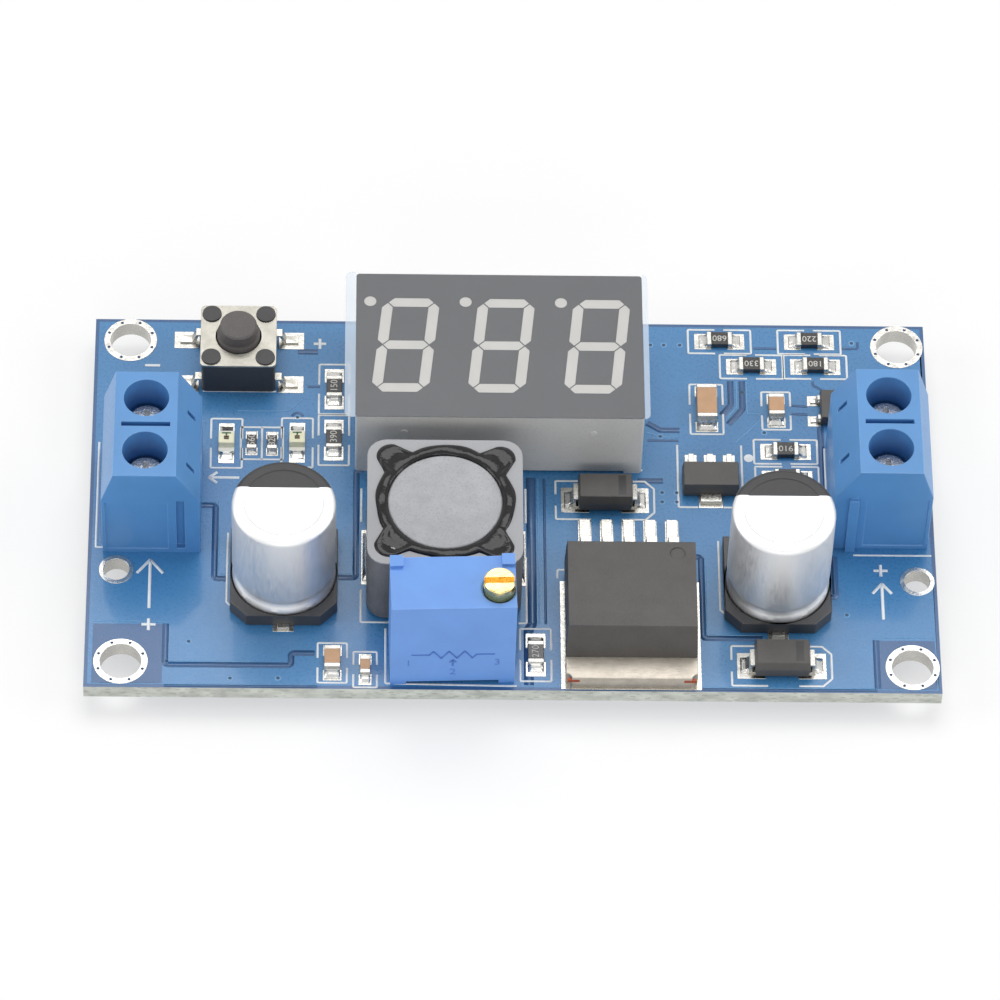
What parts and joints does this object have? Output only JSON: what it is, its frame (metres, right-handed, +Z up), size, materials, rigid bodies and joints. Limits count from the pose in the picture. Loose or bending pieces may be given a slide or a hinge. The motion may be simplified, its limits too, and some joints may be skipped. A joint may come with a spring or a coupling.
{
  "type": "buck converter module",
  "caption": "Step-down converter board with screw terminals, adjusting trimmer, inductor, regulator, capacitors and an LED number display.",
  "frame": {"origin": "middle of the mounting hole pattern, on the underside of the board", "axes": "+X along the board from the output end to the input end, +Y to the display edge, +Z up out of the component side"},
  "size_m": [0.066, 0.0355, 0.0142],
  "materials": {
    "board_laminate": "blue solder mask over copper, satin gloss",
    "tinned_copper": "hot-tinned copper, bright, slightly uneven",
    "solder": "reflowed solder, bright",
    "terminal_plastic": "moulded blue nylon, fine grain",
    "plated_steel": "zinc plate, bright",
    "clamp_steel": "zinc plate, pressed",
    "tinned_brass": "tinned strip",
    "switch_plastic": "black moulding, matt",
    "switch_steel": "pressed nickel silver, satin",
    "button_plastic": "dark grey moulding, matt",
    "spring_steel": "thin spring steel",
    "trimmer_plastic": "moulded blue plastic, satin",
    "adjuster_brass": "turned brass, bright",
    "wheel_plastic": "white moulding",
    "ceramic": "white ceramic with a resistor track",
    "shield_ferrite": "sintered ferrite, dark grey, matt",
    "core_ferrite": "ground ferrite face, mid grey",
    "enamelled_copper": "enamelled copper wire",
    "black_adhesive": "black epoxy, glossy",
    "moulding_compound": "moulding compound, fine matt grain",
    "tab_copper": "tin-plated copper, copper showing at the sheared notches",
    "lead_tin": "tin plate, satin",
    "can_aluminium": "drawn aluminium, satin",
    "cap_base_plastic": "black moulding",
    "led_white": "white laminate",
    "led_resin": "pale yellow resin",
    "resistor_glaze": "black glaze over white ceramic",
    "capacitor_ceramic": "tan sintered ceramic",
    "display_plastic": "pale grey moulding, fine grain",
    "display_ink": "dark grey ink, matt",
    "segment_resin": "milky grey resin, unlit",
    "display_laminate": "green laminate",
    "clear_film": "clear protective film"
  },
  "bodies": {
    "root": {"board": "board_laminate", "mounting_rings": "tinned_copper", "solder_pads": "tinned_copper", "solder_fillets": "solder", "solder_joints": "solder", "output_terminal_housing": "terminal_plastic", "input_terminal_housing": "terminal_plastic", "output_terminal_contacts": "tinned_brass", "input_terminal_contacts": "tinned_brass", "switch_base": "switch_plastic", "switch_cover": "switch_steel", "switch_dome": "spring_steel", "switch_leads": "tinned_brass", "trimmer_case": "trimmer_plastic", "trimmer_element": "ceramic", "trimmer_pins": "tinned_brass", "inductor_shield": "shield_ferrite", "inductor_core": "core_ferrite", "inductor_winding": "enamelled_copper", "inductor_adhesive": "black_adhesive", "inductor_terminals": "tinned_brass", "regulator_body": "moulding_compound", "regulator_tab": "tab_copper", "regulator_leads": "lead_tin", "output_capacitor_can": "can_aluminium", "output_capacitor_base": "cap_base_plastic", "input_capacitor_can": "can_aluminium", "input_capacitor_base": "cap_base_plastic", "capacitor_leads": "lead_tin", "catch_diode": "moulding_compound", "input_diode": "moulding_compound", "diode_leads": "lead_tin", "meter_regulator": "moulding_compound", "meter_regulator_leads": "lead_tin", "transistor": "moulding_compound", "transistor_leads": "lead_tin", "led_bases": "led_white", "led_lenses": "led_resin", "resistors": "resistor_glaze", "ceramic_capacitors": "capacitor_ceramic", "chip_ends": "lead_tin", "display_housing": "display_plastic", "display_face": "display_ink", "display_segments": "segment_resin", "display_board": "display_laminate", "display_pins": "lead_tin", "display_film": "clear_film", "meter_chip": "moulding_compound", "meter_chip_leads": "lead_tin"},
    "output_screw_1": {"output_screw_1": "plated_steel"},
    "output_screw_2": {"output_screw_2": "plated_steel"},
    "input_screw_1": {"input_screw_1": "plated_steel"},
    "input_screw_2": {"input_screw_2": "plated_steel"},
    "output_clamp_1": {"output_clamp_1": "clamp_steel"},
    "output_clamp_2": {"output_clamp_2": "clamp_steel"},
    "input_clamp_1": {"input_clamp_1": "clamp_steel"},
    "input_clamp_2": {"input_clamp_2": "clamp_steel"},
    "switch_button": {"switch_button": "button_plastic"},
    "trimmer_screw": {"trimmer_screw": "adjuster_brass"},
    "trimmer_wheel": {"trimmer_wheel": "wheel_plastic"}
  },
  "joints": [
    {"name": "output_screw_1_turn", "type": "hinge", "parent": "root", "child": "output_screw_1", "pos_m": [-0.02875, -0.00265, 0.008], "axis": [0, 0, -1], "range_deg": [0, 1224]},
    {"name": "output_clamp_1_rise", "type": "slide", "parent": "root", "child": "output_clamp_1", "axis": [0, 0, 1], "range_m": [0, 0.0017]},
    {"name": "output_screw_2_turn", "type": "hinge", "parent": "root", "child": "output_screw_2", "pos_m": [-0.02875, 0.00235, 0.008], "axis": [0, 0, -1], "range_deg": [0, 1224]},
    {"name": "output_clamp_2_rise", "type": "slide", "parent": "root", "child": "output_clamp_2", "axis": [0, 0, 1], "range_m": [0, 0.0017]},
    {"name": "input_screw_1_turn", "type": "hinge", "parent": "root", "child": "input_screw_1", "pos_m": [0.0287, 0.00325, 0.008], "axis": [0, 0, -1], "range_deg": [0, 1224]},
    {"name": "input_clamp_1_rise", "type": "slide", "parent": "root", "child": "input_clamp_1", "axis": [0, 0, 1], "range_m": [0, 0.0017]},
    {"name": "input_screw_2_turn", "type": "hinge", "parent": "root", "child": "input_screw_2", "pos_m": [0.0287, -0.00175, 0.008], "axis": [0, 0, -1], "range_deg": [0, 1224]},
    {"name": "input_clamp_2_rise", "type": "slide", "parent": "root", "child": "input_clamp_2", "axis": [0, 0, 1], "range_m": [0, 0.0017]},
    {"name": "button_press", "type": "slide", "parent": "root", "child": "switch_button", "axis": [0, 0, -1], "range_m": [0, 0.00025], "stiffness_N_per_m": 1500, "deforming": ["switch_dome"]},
    {"name": "trimmer_screw_turn", "type": "hinge", "parent": "root", "child": "trimmer_screw", "pos_m": [-0.0016, -0.01539, 0.011], "axis": [0, 0, -1], "range_deg": [-4500, 4500]},
    {"name": "trimmer_wheel_turn", "type": "hinge", "parent": "root", "child": "trimmer_wheel", "pos_m": [-0.00576, -0.01552, 0.0061], "axis": [-0.0314, 0.9995, 0], "range_deg": [-150, 150]}
  ],
  "couplings": [
    {"joint": "output_screw_1_turn", "follows": "output_clamp_1_rise", "rad_per_m": 12566},
    {"joint": "output_screw_2_turn", "follows": "output_clamp_2_rise", "rad_per_m": 12566},
    {"joint": "input_screw_1_turn", "follows": "input_clamp_1_rise", "rad_per_m": 12566},
    {"joint": "input_screw_2_turn", "follows": "input_clamp_2_rise", "rad_per_m": 12566},
    {"joint": "trimmer_wheel_turn", "follows": "trimmer_screw_turn", "ratio": 0.033333}
  ]
}
